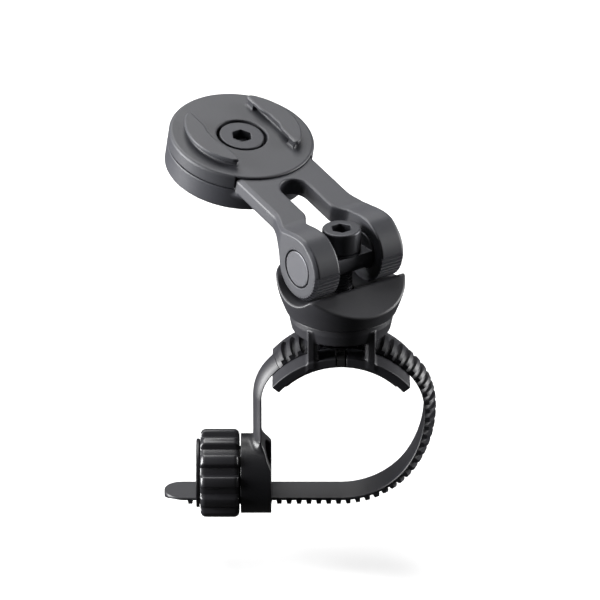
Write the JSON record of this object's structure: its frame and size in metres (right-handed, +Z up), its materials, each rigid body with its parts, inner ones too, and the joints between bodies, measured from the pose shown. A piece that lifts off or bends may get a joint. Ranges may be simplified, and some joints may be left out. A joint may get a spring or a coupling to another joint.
{
  "type": "phone mount",
  "caption": "Bicycle phone mount: twist-lock head on a tilting fork arm, swivelling saddle, and a cradle on a ribbed band drawn tight by a threaded knob.",
  "frame": {"origin": "centre of the handlebar that the cradle sits on, at the cradle's mid-width", "axes": "+Y along the handlebar, +Z up the swivel axis, +X to the right with the buckle at -X"},
  "size_m": [0.0604, 0.0615, 0.0831],
  "materials": {
    "cradle_plastic": "fine matt moulded, glass-filled nylon",
    "pad_rubber": "matt soft rubber",
    "steel": "zinc-plated steel",
    "washer_plastic": "matt nylon",
    "band_plastic": "satin flexible plastic",
    "barrel_metal": "satin anodised",
    "bolt_black": "black oxide, low gloss",
    "arm_metal": "fine matt anodised aluminium",
    "cap_plastic": "fine matt moulded, glass-filled nylon",
    "buckle_plastic": "satin moulded plastic",
    "knob_plastic": "semi-gloss moulded plastic"
  },
  "bodies": {
    "cradle": {"cradle_bracket": "cradle_plastic", "cradle_pad": "pad_rubber", "clamp_nut": "steel", "swivel_washer": "washer_plastic", "toothed_band": "band_plastic", "smooth_band": "band_plastic"},
    "saddle": {"turntable": "cradle_plastic", "cross_barrel": "barrel_metal", "bolt_washer": "bolt_black", "clamp_bolt": "bolt_black"},
    "arm": {"fork_arm": "arm_metal", "head_cap": "cap_plastic", "head_screw": "bolt_black"},
    "buckle": {"buckle_housing": "buckle_plastic", "knob_retainer": "buckle_plastic"},
    "dial": {"knob": "knob_plastic", "knob_thread": "knob_plastic"}
  },
  "joints": [
    {"name": "swivel", "type": "hinge", "parent": "cradle", "child": "saddle", "pos_m": [0, 0, 0.0275], "axis": [0, 0, 1], "continuous": true},
    {"name": "arm_tilt", "type": "hinge", "parent": "saddle", "child": "arm", "pos_m": [0, 0, 0.0404], "axis": [0.809, 0.5878, 0], "range_deg": [-25, 155]},
    {"name": "buckle_slide", "type": "slide", "parent": "cradle", "child": "buckle", "axis": [1, 0, 0], "range_m": [-0.0066, 0], "deforming": ["smooth_band"]},
    {"name": "knob_spin", "type": "hinge", "parent": "buckle", "child": "dial", "pos_m": [-0.0269, 0, -0.0133], "axis": [1, 0, 0], "range_deg": [-1080, 0]}
  ],
  "couplings": [
    {"joint": "buckle_slide", "follows": "knob_spin", "m_per_rad": 0.00035014}
  ]
}
